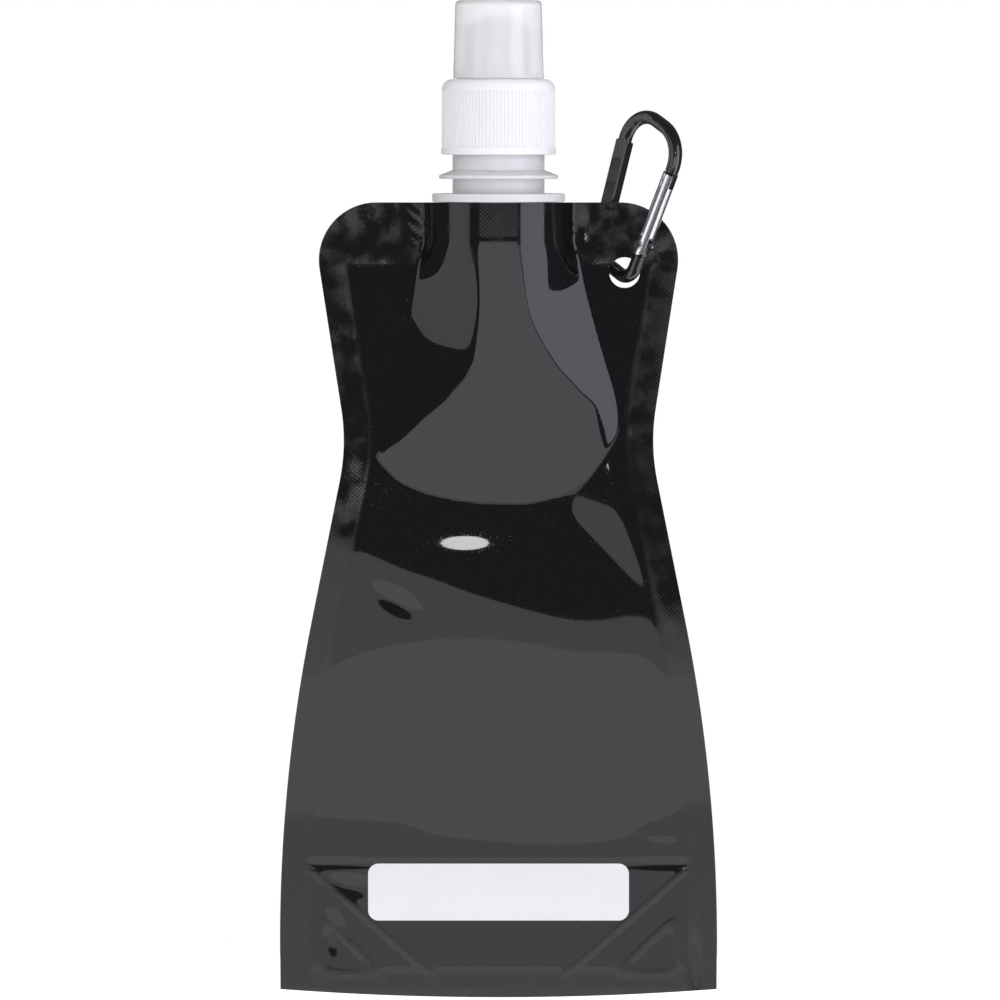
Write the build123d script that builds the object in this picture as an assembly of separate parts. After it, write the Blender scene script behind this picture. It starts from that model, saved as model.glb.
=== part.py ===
"""Folding water bottle: a film pouch with a welded spout, a push-pull sports cap and a carabiner.

Millimetres, +Z up. The origin is on the bottle's axis at the middle of the pouch's bottom edge,
and the front, with the name label, faces -Y.
"""
from build123d import *
import os
from math import atan, atan2, cos, pi, radians, sin, sqrt, tan

# ---- Pouch outline, cut from flat film -------------------------------------------------------
POUCH_HEIGHT = 214.8
BOTTOM_BOW = 2.2            # the bottom edge sags by this at its middle
BASE_HALF_WIDTH = 59.0
BASE_CORNER_RADIUS = 1.5
HIP_SPREAD = 0.4            # how much wider it is where the two straight stretches of a side meet
HIP_HEIGHT = 57.0
HIP_RADIUS = 440.0
WAIST_HALF_WIDTH = 40.9
WAIST_BELOW_TOP = 65.4
WAIST_RADIUS = 55.0
SHOULDER_FLARE = 0.155      # how fast the side widens above the waist
SHOULDER_RADIUS = 15.5
FILM = 0.3                  # thickness of one layer of laminate

# ---- Where the pouch folds -------------------------------------------------------------------
FOLD_LOWER = 52.0
FOLD_UPPER = 104.0
FOLD_GAP = 0.3              # left between the stiff bands at a fold
FOLD_PIVOT_OUT = 0.4        # a fold turns about a line this far outside the film

# ---- Inside of the pouch: the half width and half depth of the space between the films --------
BAG_DEPTH = 4.0             # from the middle plane to the outside of the flat front
BASE_DEPTH = 2.4            # the same at the gusset and the label
BAG_SIDE_RUN = 8.0          # width of the slope from the side seam to the flat front
SIDE_SEAL_LOW = 12.5        # width of the side seam at the lower fold
SIDE_SEAL_HIGH = 7.5        # and at the upper fold
BOTTOM_SEAL = 8.0
BOTTOM_RISE = 8.0           # height of the slope above the bottom seam
CONE_LENGTH = 61.8          # from the spout's weld base down to the flat bag
CONE_FOOT_HALF_WIDTH = 33.0
CONE_FOOT_DEPTH = 4.0
CONE_FOOT_FLAT = 22.0       # half width of the flat across the cone's foot

# ---- Gusset folded up between the films ------------------------------------------------------
GUSSET_HEIGHT = 36.0
GUSSET_SLIT = 0.1           # air between its two leaves
GUSSET_EDGE = 0.6           # it stops this far inside the pouch's sides
GUSSET_LAP = 2.0            # the films step outwards over this height to make room for it
PUNCH_TOP = 21.5            # rounded triangles punched out of the gusset's corners
PUNCH_BOTTOM = 6.5
PUNCH_FROM_SIDE = 13.5      # from the bottom corner of the pouch
PUNCH_WIDTH = 18.0          # along its lower edge
PUNCH_TOP_WIDTH = 4.0
PUNCH_RADIUS = 1.8

# ---- Name label -----------------------------------------------------------------------------
LABEL_WIDTH = 70.5
LABEL_HEIGHT = 15.4
LABEL_BOTTOM = 20.8
LABEL_RADIUS = 2.8
LABEL_THICKNESS = 0.15

# ---- Hang hole ------------------------------------------------------------------------------
HOLE_X = 34.0
HOLE_BELOW_TOP = 18.9
HOLE_ROOM = 2.28            # from the carabiner's bar to the hole's edge, all round

# ---- Spout ----------------------------------------------------------------------------------
BOAT_WALL = 2.5             # from the bore to the film, at the front
BOAT_WING = 9.5             # and at the sides, out to the tips
BOAT_FLAT = 8.0             # half width of the middle arc of its outline
BOAT_HEIGHT = 11.0
FLANGE_GAP = 0.2            # from the film's top edge to the flange
FLANGE_OUT = 5.5            # beyond the neck
FLANGE_STUB_IN = 0.3        # the short stub under it stands back from the weld base
FLANGE_THICKNESS = 2.2
NECK_RADIUS = 12.4
NECK_WALL = 2.2
NECK_LENGTH = 28.2          # above the flange
RING_OUT = 3.7              # beyond the neck
RING_ABOVE_FLANGE = 4.0
RING_RIM = 0.9
RING_ROOT = 2.3
EDGE_BREAK = 0.25           # chamfer on moulded rims

# ---- Thread ---------------------------------------------------------------------------------
THREAD_PITCH = 3.18
THREAD_TURNS = 1.5
THREAD_DEPTH = 1.1
THREAD_ROOT_WIDTH = 1.8
THREAD_CREST_WIDTH = 0.8
THREAD_BITE = 0.25          # how far a thread is rooted in its wall
THREAD_CLEARANCE = 0.45     # from a thread's crest to the wall that it faces
THREAD_TOP_GAP = 3.4        # from the neck's mouth to the top of its thread

# ---- Screw cap ------------------------------------------------------------------------------
CAP_HEIGHT = 20.3
CAP_WALL = 1.05             # behind the ribs
CAP_TOP = 1.6
CAP_SHOULDER_RADIUS = 3.0
CAP_BAND_HEIGHT = 1.8       # smooth bead round the open end
CAP_BAND_OUT = 0.3          # how far the bead stands out from the ribs
RIB_COUNT = 96
RIB_DEPTH = 0.3
LINER_THICKNESS = 0.9
LINER_GAP = 0.05
LIFT_TURNS = 6

# ---- Valve: a chimney on the cap, and the nozzle that slides on it ----------------------------
CHIMNEY_RADIUS = 6.0
CHIMNEY_WALL = 1.2
CHIMNEY_HEIGHT = 9.0
CHIMNEY_DECK = 1.2
PLUG_RADIUS = 1.6
PLUG_HEIGHT = 5.4
PORT_RADIUS = 1.1
PORT_COUNT = 4
SLIDE_CLEARANCE = 0.08
NOZZLE_WALL = 1.2
NOZZLE_AIR = 0.72           # between its sleeve and its skirt
NOZZLE_FOOT_GAP = 0.2
NOZZLE_FOOT_OUT = 0.6       # beyond the skirt
NOZZLE_FOOT_HEIGHT = 2.6
NOZZLE_BODY_HEIGHT = 13.6   # up to its shoulder
NOZZLE_DOME_HEIGHT = 3.0
NOZZLE_TIP_RADIUS = 4.4
NOZZLE_STROKE = 3.0
COLLAR_AIR = 0.4            # from the nozzle's foot to the ring that the dust cover snaps round
COLLAR_WALL = 0.8
COLLAR_HEIGHT = 2.4

# ---- Dust cover -----------------------------------------------------------------------------
COVER_WALL = 1.1
COVER_FIT = 0.1             # radial gap to the collar
COVER_DRAFT = 0.6           # how much narrower its top is
COVER_GAP = 0.15            # to the cap's top
COVER_HEADROOM = 0.3        # above the nozzle when that is pulled out
COVER_RADIUS = 1.2
COVER_LIFT = 22.0

# ---- Carabiner, drawn flat: X across from spine to gate, Z along, then turned into place ------
BAR_RADIUS = 1.85
GATE_LINE = 4.1             # the gate's centre line; the bar crosses the film at X 0
TOP_LINE = 42.4
SPINE_FOOT = -10.9
SPINE_SLOPE = 0.169         # how fast the spine leans away from the gate
BEND_LOW_GATE = 4.1
BEND_LOW_SPINE = 5.5
BEND_TOP = 8.5
SPINE_FLAT_FROM = 12.0
SPINE_FLAT_TO = 32.0
SPINE_FLAT_WIDTH = 4.5
SPINE_FLAT_THICKNESS = 2.9
SPINE_FLAT_EDGE = 0.5
TANG_THICKNESS = 1.4
TANG_RADIUS = 1.6
PIVOT_HEIGHT = 11.1
SHOULDER_HEIGHT = 8.1       # where the round bar stops below the gate
NOSE_HEIGHT = 33.2          # and above it
NOSE_TIP = 29.3
NOSE_HALF_WIDTH = 1.5
GATE_RADIUS = 2.1
GATE_FOOT_RADIUS = 2.75     # its lower end is rounded about the pivot
GATE_TOP = 32.6
SLOT_WIDTH = 1.7
SLOT_LOW_END = 14.0
SLOT_TOP_END = 28.9
PIVOT_PIN_RADIUS = 0.75
PIVOT_PIN_CLEARANCE = 0.05
PIVOT_HEAD_RADIUS = 1.15
PIVOT_HEAD_HEIGHT = 0.35
PIVOT_HEAD_GAP = 0.1        # from the gate to each head
LATCH_PIN_RADIUS = 0.5
LATCH_HEIGHT = 30.8
LATCH_ROOM = 0.2
GROOVE_WIDTH = 0.8
GROOVE_DEPTH = 0.5
SPRING_BORE_RADIUS = 0.9
SPRING_BORE_END = 26.5
SPRING_RADIUS = 0.6
SPRING_WIRE = 0.13
SPRING_PITCH = 0.8
SPRING_TURNS = 10
PLUNGER_RADIUS = 0.75
PLUNGER_TIP_GAP = 0.15
LEAN = 20.5                 # the top leans to +X, in the plane of the film
PITCH_FORWARD = 18.0        # the top leans to -Y
TWIST = 45.0                # the gate side is turned to the front
CROSSING = (-1.03, -0.47)   # the bar's centre in the hole, from the hole's centre

# ---- Worked out from the above ---------------------------------------------------------------
WAIST_HEIGHT = POUCH_HEIGHT - WAIST_BELOW_TOP
HIP_HALF_WIDTH = BASE_HALF_WIDTH + HIP_SPREAD
SHOULDER_HALF_WIDTH = WAIST_HALF_WIDTH + SHOULDER_FLARE * (POUCH_HEIGHT - WAIST_HEIGHT)
HOLE_Z = POUCH_HEIGHT - HOLE_BELOW_TOP
HOLE_RADIUS = BAR_RADIUS + HOLE_ROOM
NECK_BORE = NECK_RADIUS - NECK_WALL
BOAT_HALF_WIDTH = NECK_BORE + BOAT_WING + FILM      # outside of the film round the weld base
BOAT_HALF_DEPTH = NECK_BORE + BOAT_WALL + FILM
BOAT_BOTTOM = POUCH_HEIGHT - BOAT_HEIGHT
CONE_FOOT_HEIGHT = BOAT_BOTTOM - CONE_LENGTH
PUNCH_OUTER = BASE_HALF_WIDTH - PUNCH_FROM_SIDE
FLANGE_BOTTOM = POUCH_HEIGHT + FLANGE_GAP
FLANGE_TOP = FLANGE_BOTTOM + FLANGE_THICKNESS
FLANGE_RADIUS = NECK_RADIUS + FLANGE_OUT
STUB_RADIUS = BOAT_HALF_DEPTH - FILM - FLANGE_STUB_IN
RING_RADIUS = NECK_RADIUS + RING_OUT
NECK_TOP = FLANGE_TOP + NECK_LENGTH
THREAD_RADIUS = NECK_RADIUS + THREAD_DEPTH
CAP_INNER_RADIUS = THREAD_RADIUS + THREAD_CLEARANCE
CAP_ROOT_RADIUS = CAP_INNER_RADIUS + CAP_WALL
CAP_RADIUS = CAP_ROOT_RADIUS + RIB_DEPTH
CAP_CEILING = NECK_TOP + LINER_GAP + LINER_THICKNESS + LINER_GAP
CAP_DECK = CAP_CEILING + CAP_TOP
CAP_BOTTOM = CAP_DECK - CAP_HEIGHT
LINER_RADIUS = NECK_RADIUS
CHIMNEY_TOP = CAP_DECK + CHIMNEY_HEIGHT
SLEEVE_INNER_RADIUS = CHIMNEY_RADIUS + SLIDE_CLEARANCE
SLEEVE_OUTER_RADIUS = SLEEVE_INNER_RADIUS + NOZZLE_WALL
NOZZLE_RADIUS = SLEEVE_OUTER_RADIUS + NOZZLE_AIR + NOZZLE_WALL
NOZZLE_FOOT_RADIUS = NOZZLE_RADIUS + NOZZLE_FOOT_OUT
COLLAR_RADIUS = NOZZLE_FOOT_RADIUS + COLLAR_AIR + COLLAR_WALL
NOZZLE_BOTTOM = CAP_DECK + NOZZLE_FOOT_GAP
NOZZLE_SHOULDER = NOZZLE_BOTTOM + NOZZLE_BODY_HEIGHT
NOZZLE_TOP = NOZZLE_SHOULDER + NOZZLE_DOME_HEIGHT
COVER_BOTTOM = CAP_DECK + COVER_GAP
COVER_CEILING = NOZZLE_TOP + NOZZLE_STROKE + COVER_HEADROOM
COVER_TOP = COVER_CEILING + COVER_WALL
COVER_INNER_RADIUS = COLLAR_RADIUS + COVER_FIT
CAP_LIFT = LIFT_TURNS * THREAD_PITCH
GATE_SPOT = (HOLE_X + CROSSING[0], 0, HOLE_Z + CROSSING[1])


def carabiner_place():
    """Where the carabiner's flat drawing goes: twisted, leant forward, leant over, in the hole."""
    return Pos(*GATE_SPOT) * Rot(0, LEAN, 0) * Rot(PITCH_FORWARD, 0, 0) * Rot(0, 0, -TWIST)


# ---- Pouch ----------------------------------------------------------------------------------
def side_half_width(z):
    """Half width of the cut outline at height z, leaving out the rounded corners."""
    stops = [
        (0.0, BASE_HALF_WIDTH),
        (HIP_HEIGHT, HIP_HALF_WIDTH),
        (WAIST_HEIGHT, WAIST_HALF_WIDTH),
        (POUCH_HEIGHT, SHOULDER_HALF_WIDTH),
    ]
    for (z0, w0), (z1, w1) in zip(stops, stops[1:]):
        if z <= z1:
            return w0 + (w1 - w0) * (z - z0) / (z1 - z0)
    return SHOULDER_HALF_WIDTH


def rounded_route(corners, radii):
    """Edges through flat corner points, each inner corner rounded as far as its sides allow."""
    points = [Vector(*corner) for corner in corners]
    edges = []
    start = points[0]
    for before, corner, after, radius in zip(points, points[1:], points[2:], radii):
        back = (before - corner).normalized()
        ahead = (after - corner).normalized()
        half_turn = (180 - back.get_angle(ahead)) / 2
        room = 0.95 * min((corner - start).length, (after - corner).length)
        run = min(radius * tan(radians(half_turn)), room)
        radius = run / tan(radians(half_turn))
        inward = (back + ahead).normalized()
        middle = corner + inward * (radius / cos(radians(half_turn)) - radius)
        edges.append(Edge.make_line(start, corner + back * run))
        edges.append(Edge.make_three_point_arc(corner + back * run, middle, corner + ahead * run))
        start = corner + ahead * run
    edges.append(Edge.make_line(start, points[-1]))
    return edges


def outline_face(trim=0.0):
    """The pouch's cut outline in the XZ plane, made smaller by trim on its sides."""
    base = (BASE_HALF_WIDTH - trim, BOTTOM_BOW)
    half_chord = base[0] / 2
    side = rounded_route(
        [
            base,
            (HIP_HALF_WIDTH - trim, HIP_HEIGHT),
            (WAIST_HALF_WIDTH - trim, WAIST_HEIGHT),
            (SHOULDER_HALF_WIDTH - trim, POUCH_HEIGHT),
            (0, POUCH_HEIGHT),
        ],
        [HIP_RADIUS, WAIST_RADIUS, SHOULDER_RADIUS],
    )
    bottom = Edge.make_three_point_arc((0, 0), (half_chord, BOTTOM_BOW / 4), base)
    middle = Edge.make_line((0, POUCH_HEIGHT), (0, 0))
    face = make_face(Wire([bottom, *side, middle]))
    corner = face.vertices().sort_by_distance((*base, 0))[0]
    face = fillet(corner, BASE_CORNER_RADIUS)
    whole = face + mirror(face, Plane.YZ)
    return Plane.XZ * whole


def slab(face, y_low, y_high):
    """A flat layer of that outline, between two Y planes."""
    return Pos(0, y_high, 0) * extrude(face, amount=y_high - y_low, dir=(0, -1, 0))


def flat_section(z, half_width, flat, depth, inset=0.0):
    """Half of the bag's outline at height z, sides sloping to a flat front, moved in by inset."""
    slope = atan2(depth, half_width - flat)
    tip = half_width - (inset / sin(slope) if inset else 0)
    front = flat - inset * tan(slope / 2)
    y = -(depth - inset)
    corners = [(-tip, 0), (-front, y), (front, y), (tip, 0)]
    return Pos(0, 0, z) * make_face(Polyline(*corners, close=True))


def boat_section(z, inset=0.0):
    """Half of the weld base's outline at height z: three arcs of one circle, moved in by inset."""
    radius = (BOAT_HALF_WIDTH**2 + BOAT_HALF_DEPTH**2) / (2 * BOAT_HALF_DEPTH)
    centre = radius - BOAT_HALF_DEPTH
    r = radius - inset
    tip = sqrt(r**2 - centre**2)
    angle_tip = atan2(centre, tip)
    angle_flat = pi / 2 - atan(BOAT_FLAT / (radius - 1))

    def on(angle):
        return (r * cos(angle), centre - r * sin(angle))

    def opposite(angle):
        return (-r * cos(angle), centre - r * sin(angle))

    between = (angle_tip + angle_flat) / 2
    arcs = [
        ThreePointArc((-tip, 0), opposite(between), opposite(angle_flat)),
        ThreePointArc(opposite(angle_flat), (0, centre - r), on(angle_flat)),
        ThreePointArc(on(angle_flat), on(between), (tip, 0)),
    ]
    closing = Line((tip, 0), (-tip, 0))
    edges = [edge for piece in [*arcs, closing] for edge in piece.edges()]
    return Pos(0, 0, z) * make_face(Wire(edges))


def bag_half(inset):
    """The front half of the space inside the films, grown outwards to the film's face at inset 0."""
    low = side_half_width(FOLD_LOWER) - SIDE_SEAL_LOW
    high = side_half_width(FOLD_UPPER) - SIDE_SEAL_HIGH
    foot = BOTTOM_SEAL + BOTTOM_RISE
    seam_depth = 3 * FILM
    lower = loft(
        [
            flat_section(BOTTOM_SEAL + inset, low - BAG_SIDE_RUN / 2, low - BAG_SIDE_RUN, seam_depth, inset),
            flat_section(foot, low, low - BAG_SIDE_RUN, BASE_DEPTH, inset),
        ],
        ruled=True,
    )
    straight = loft(
        [
            flat_section(foot, low, low - BAG_SIDE_RUN, BASE_DEPTH, inset),
            flat_section(GUSSET_HEIGHT + GUSSET_LAP, low, low - BAG_SIDE_RUN, BASE_DEPTH, inset),
            flat_section(FOLD_LOWER - FOLD_GAP, low, low - BAG_SIDE_RUN, BAG_DEPTH, inset),
            flat_section(FOLD_UPPER, high, high - BAG_SIDE_RUN, BAG_DEPTH, inset),
            flat_section(CONE_FOOT_HEIGHT, CONE_FOOT_HALF_WIDTH, CONE_FOOT_FLAT, CONE_FOOT_DEPTH, inset),
        ],
        ruled=True,
    )
    cone = loft(
        [
            flat_section(CONE_FOOT_HEIGHT, CONE_FOOT_HALF_WIDTH, CONE_FOOT_FLAT, CONE_FOOT_DEPTH, inset),
            boat_section(BOAT_BOTTOM, inset),
        ],
        ruled=True,
    )
    collar = extrude(boat_section(BOAT_BOTTOM, inset), amount=BOAT_HEIGHT)
    return lower + straight + cone + collar


def front_film():
    """The whole front film: its flat seam margins and the bag's front, one film thick."""
    room = BASE_HALF_WIDTH * 3
    above = Pos(0, 0, GUSSET_HEIGHT + POUCH_HEIGHT) * Box(room, room, 2 * POUCH_HEIGHT)
    step = GUSSET_HEIGHT + GUSSET_LAP
    below = Pos(0, 0, step - POUCH_HEIGHT) * Box(room, room, 2 * POUCH_HEIGHT)
    face = outline_face()
    margin = (slab(face, -FILM, 0) & above) + (slab(face, -2 * FILM, -FILM) & below)
    gusset_room = Pos(0, 0, GUSSET_HEIGHT - POUCH_HEIGHT) * Box(room, 2 * FILM, 2 * POUCH_HEIGHT)
    hole = Pos(HOLE_X, 0, HOLE_Z) * Rot(90, 0, 0) * Cylinder(HOLE_RADIUS, 4 * FILM)
    return margin + bag_half(0.0) - bag_half(FILM) - gusset_room - hole


def bands(film):
    """The film cut into its base, middle and top bands, with a gap at each fold."""
    edges = [-1.0, FOLD_LOWER, FOLD_UPPER, POUCH_HEIGHT + 1.0]
    room = BASE_HALF_WIDTH * 3
    cut = []
    for low, high in zip(edges, edges[1:]):
        span = high - low - FOLD_GAP
        cut.append(film & (Pos(0, 0, (low + high) / 2) * Box(room, room, span)))
    return cut


def punch_hole(side):
    """Rounded triangle through the gusset, where the front film is welded to the back one."""
    outline = Polyline(
        (side * PUNCH_OUTER, PUNCH_BOTTOM),
        (side * (PUNCH_OUTER - PUNCH_WIDTH), PUNCH_BOTTOM),
        (side * (PUNCH_OUTER - PUNCH_TOP_WIDTH), PUNCH_TOP),
        (side * PUNCH_OUTER, PUNCH_TOP),
        close=True,
    )
    face = make_face(outline)
    face = fillet(face.vertices(), PUNCH_RADIUS)
    return slab(Plane.XZ * face, -BAG_DEPTH, BAG_DEPTH)


def bottom_gusset():
    """The bottom film folded up once between the front and back films, with its two leaves closed."""
    room = BASE_HALF_WIDTH * 3
    below = Pos(0, 0, GUSSET_HEIGHT - POUCH_HEIGHT) * Box(room, room, 2 * POUCH_HEIGHT)
    leaves = slab(outline_face(GUSSET_EDGE), -FILM, FILM) & below
    slit_top = GUSSET_HEIGHT - FILM
    slit = Pos(0, 0, slit_top - POUCH_HEIGHT) * Box(room, GUSSET_SLIT, 2 * POUCH_HEIGHT)
    return leaves - slit - punch_hole(1) - punch_hole(-1)


def name_label():
    """Write-on patch on the flat front of the base band."""
    face = RectangleRounded(LABEL_WIDTH, LABEL_HEIGHT, LABEL_RADIUS)
    place = Plane.XZ * Pos(0, LABEL_BOTTOM + LABEL_HEIGHT / 2)
    return slab(place * face, -BASE_DEPTH - LABEL_THICKNESS, -BASE_DEPTH)


# ---- Spout and cap ---------------------------------------------------------------------------
def turned(*points):
    """A solid of revolution about Z from (radius, height) corners."""
    return revolve(Plane.XZ * make_face(Polyline(*points, close=True)), Axis.Z)


def thread(wall_radius, bottom, outwards):
    """A single right-hand thread on a wall, as a swept trapezoid that is rooted in the wall."""
    sign = 1 if outwards else -1
    path = Helix(THREAD_PITCH, THREAD_TURNS * THREAD_PITCH, wall_radius)
    start = Plane(origin=path @ 0, x_dir=(1, 0, 0), z_dir=path % 0)
    root = -sign * THREAD_BITE
    crest = sign * THREAD_DEPTH
    section = start * make_face(
        Polyline(
            (root, -THREAD_ROOT_WIDTH / 2),
            (crest, -THREAD_CREST_WIDTH / 2),
            (crest, THREAD_CREST_WIDTH / 2),
            (root, THREAD_ROOT_WIDTH / 2),
            close=True,
        )
    )
    return Pos(0, 0, bottom) * sweep(section, path, is_frenet=True)


def neck_thread_bottom():
    return NECK_TOP - THREAD_TOP_GAP - THREAD_TURNS * THREAD_PITCH


def spout():
    """Weld base, flange, neck ring and threaded neck, moulded in one piece round one bore."""
    boat_half = extrude(boat_section(BOAT_BOTTOM, FILM), amount=BOAT_HEIGHT)
    boat = boat_half + mirror(boat_half, Plane.XZ)
    ring = FLANGE_TOP + RING_ABOVE_FLANGE
    body = turned(
        (0, POUCH_HEIGHT),
        (STUB_RADIUS, POUCH_HEIGHT),
        (STUB_RADIUS, FLANGE_BOTTOM),
        (FLANGE_RADIUS - EDGE_BREAK, FLANGE_BOTTOM),
        (FLANGE_RADIUS, FLANGE_BOTTOM + EDGE_BREAK),
        (FLANGE_RADIUS, FLANGE_TOP - EDGE_BREAK),
        (FLANGE_RADIUS - EDGE_BREAK, FLANGE_TOP),
        (NECK_RADIUS, FLANGE_TOP),
        (NECK_RADIUS, ring),
        (RING_RADIUS - EDGE_BREAK, ring),
        (RING_RADIUS, ring + EDGE_BREAK),
        (RING_RADIUS, ring + RING_RIM),
        (NECK_RADIUS, ring + RING_ROOT),
        (NECK_RADIUS, NECK_TOP - EDGE_BREAK),
        (NECK_RADIUS - EDGE_BREAK, NECK_TOP),
        (0, NECK_TOP),
    )
    bore_length = NECK_TOP - BOAT_BOTTOM
    bore = Pos(0, 0, BOAT_BOTTOM + bore_length / 2) * Cylinder(NECK_BORE, bore_length + 2)
    return boat + body + thread(NECK_RADIUS, neck_thread_bottom(), True) - bore


def ribbed_ring(bottom, top):
    """The cap's ribbed wall between two heights: a round bar with a groove between each two ribs."""
    step = 2 * pi / RIB_COUNT
    points = []
    for rib in range(RIB_COUNT):
        for share in (-0.30, -0.18, 0.18, 0.30):
            r = CAP_RADIUS if abs(share) < 0.2 else CAP_ROOT_RADIUS
            angle = (rib + share) * step
            points.append((r * cos(angle), r * sin(angle)))
    return Pos(0, 0, bottom) * extrude(make_face(Polyline(*points, close=True)), amount=top - bottom)


def screw_cap():
    """Ribbed cap with its inner thread, the collar for the cover and the valve's chimney and plug."""
    band_top = CAP_BOTTOM + CAP_BAND_HEIGHT
    shoulder = CAP_DECK - CAP_SHOULDER_RADIUS
    band = Pos(0, 0, (CAP_BOTTOM + band_top) / 2) * Cylinder(CAP_RADIUS + CAP_BAND_OUT / 2, CAP_BAND_HEIGHT)
    band = chamfer(band.edges().group_by(Axis.Z)[0], EDGE_BREAK)
    head = Pos(0, 0, (shoulder + CAP_DECK) / 2) * Cylinder(CAP_RADIUS, CAP_SHOULDER_RADIUS)
    head = fillet(head.edges().group_by(Axis.Z)[-1], CAP_SHOULDER_RADIUS * 0.95)
    wall = band + ribbed_ring(band_top, shoulder) + head
    inside_height = CAP_CEILING - CAP_BOTTOM
    inside = Pos(0, 0, CAP_BOTTOM + inside_height / 2 - 1) * Cylinder(CAP_INNER_RADIUS, inside_height + 2)
    thread_bottom = neck_thread_bottom() - THREAD_PITCH / 2
    shell = wall - inside + thread(CAP_INNER_RADIUS, thread_bottom, False)
    collar = turned(
        (COLLAR_RADIUS - COLLAR_WALL, CAP_DECK - CAP_TOP / 2),
        (COLLAR_RADIUS, CAP_DECK - CAP_TOP / 2),
        (COLLAR_RADIUS, CAP_DECK + COLLAR_HEIGHT - EDGE_BREAK),
        (COLLAR_RADIUS - EDGE_BREAK, CAP_DECK + COLLAR_HEIGHT),
        (COLLAR_RADIUS - COLLAR_WALL, CAP_DECK + COLLAR_HEIGHT),
    )
    chimney = turned(
        (0, CAP_CEILING),
        (CHIMNEY_RADIUS, CAP_CEILING),
        (CHIMNEY_RADIUS, CHIMNEY_TOP - EDGE_BREAK),
        (CHIMNEY_RADIUS - EDGE_BREAK, CHIMNEY_TOP),
        (PLUG_RADIUS, CHIMNEY_TOP),
        (PLUG_RADIUS, CHIMNEY_TOP + PLUG_HEIGHT - EDGE_BREAK),
        (PLUG_RADIUS - EDGE_BREAK, CHIMNEY_TOP + PLUG_HEIGHT),
        (0, CHIMNEY_TOP + PLUG_HEIGHT),
    )
    flue_top = CHIMNEY_TOP - CHIMNEY_DECK
    flue_height = flue_top - CAP_CEILING + 1
    flue = Pos(0, 0, flue_top - flue_height / 2) * Cylinder(CHIMNEY_RADIUS - CHIMNEY_WALL, flue_height)
    port_ring = (PLUG_RADIUS + CHIMNEY_RADIUS - CHIMNEY_WALL) / 2
    port = Cylinder(PORT_RADIUS, 4 * CHIMNEY_DECK)
    ports = Pos(0, 0, flue_top) * PolarLocations(port_ring, PORT_COUNT) * port
    return shell + collar + chimney - flue - Compound(ports)


def cap_liner():
    """Soft ring that the cap presses on the neck's mouth."""
    bottom = NECK_TOP + LINER_GAP
    return turned(
        (NECK_BORE - EDGE_BREAK, bottom),
        (LINER_RADIUS, bottom),
        (LINER_RADIUS, bottom + LINER_THICKNESS),
        (NECK_BORE - EDGE_BREAK, bottom + LINER_THICKNESS),
    )


def nozzle():
    """Push-pull mouthpiece: a skirt and an inner sleeve joined at the domed tip."""
    skirt_in = NOZZLE_RADIUS - NOZZLE_WALL
    under = NOZZLE_SHOULDER - NOZZLE_WALL
    hole = PLUG_RADIUS + SLIDE_CLEARANCE
    foot_top = NOZZLE_BOTTOM + NOZZLE_FOOT_HEIGHT
    return turned(
        (SLEEVE_INNER_RADIUS, NOZZLE_BOTTOM),
        (SLEEVE_OUTER_RADIUS, NOZZLE_BOTTOM),
        (SLEEVE_OUTER_RADIUS, under),
        (skirt_in, under),
        (skirt_in, NOZZLE_BOTTOM),
        (NOZZLE_FOOT_RADIUS, NOZZLE_BOTTOM),
        (NOZZLE_FOOT_RADIUS, foot_top - EDGE_BREAK),
        (NOZZLE_FOOT_RADIUS - EDGE_BREAK, foot_top),
        (NOZZLE_RADIUS, foot_top),
        (NOZZLE_RADIUS, NOZZLE_SHOULDER),
        (NOZZLE_TIP_RADIUS, NOZZLE_TOP),
        (hole, NOZZLE_TOP),
        (hole, CHIMNEY_TOP + NOZZLE_WALL),
        (SLEEVE_INNER_RADIUS, CHIMNEY_TOP + NOZZLE_WALL),
    )


def dust_cover():
    """Clear hat over the nozzle, slightly narrower at its top."""
    outer = turned(
        (0, COVER_BOTTOM),
        (COVER_INNER_RADIUS + COVER_WALL, COVER_BOTTOM),
        (COVER_INNER_RADIUS + COVER_WALL - COVER_DRAFT, COVER_TOP),
        (0, COVER_TOP),
    )
    outer = fillet(outer.edges().group_by(Axis.Z)[-1], COVER_RADIUS)
    inner = turned(
        (0, COVER_BOTTOM - 1),
        (COVER_INNER_RADIUS, COVER_BOTTOM - 1),
        (COVER_INNER_RADIUS, CAP_DECK + COLLAR_HEIGHT),
        (COVER_INNER_RADIUS - COVER_DRAFT, COVER_CEILING),
        (0, COVER_CEILING),
    )
    return outer - inner


# ---- Carabiner -------------------------------------------------------------------------------
def along_normal(radius, length, x, z):
    """A round bar square to the carabiner's plane, at a point of its drawing."""
    return Pos(x, 0, z) * Rot(90, 0, 0) * Cylinder(radius, length)


def spine_x(z):
    return SPINE_FOOT - SPINE_SLOPE * z


def spine_bar(width, thickness, edge):
    """A bar with rounded edges along the spine's flattened stretch."""
    middle = (SPINE_FLAT_FROM + SPINE_FLAT_TO) / 2
    lean = -atan(SPINE_SLOPE) * 180 / pi
    length = (SPINE_FLAT_TO - SPINE_FLAT_FROM) / cos(atan(SPINE_SLOPE))
    bar = Box(width, thickness, length)
    if edge:
        bar = fillet(bar.edges().filter_by(Axis.Z), edge)
    return Pos(spine_x(middle), 0, middle) * Rot(0, lean, 0) * bar


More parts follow.
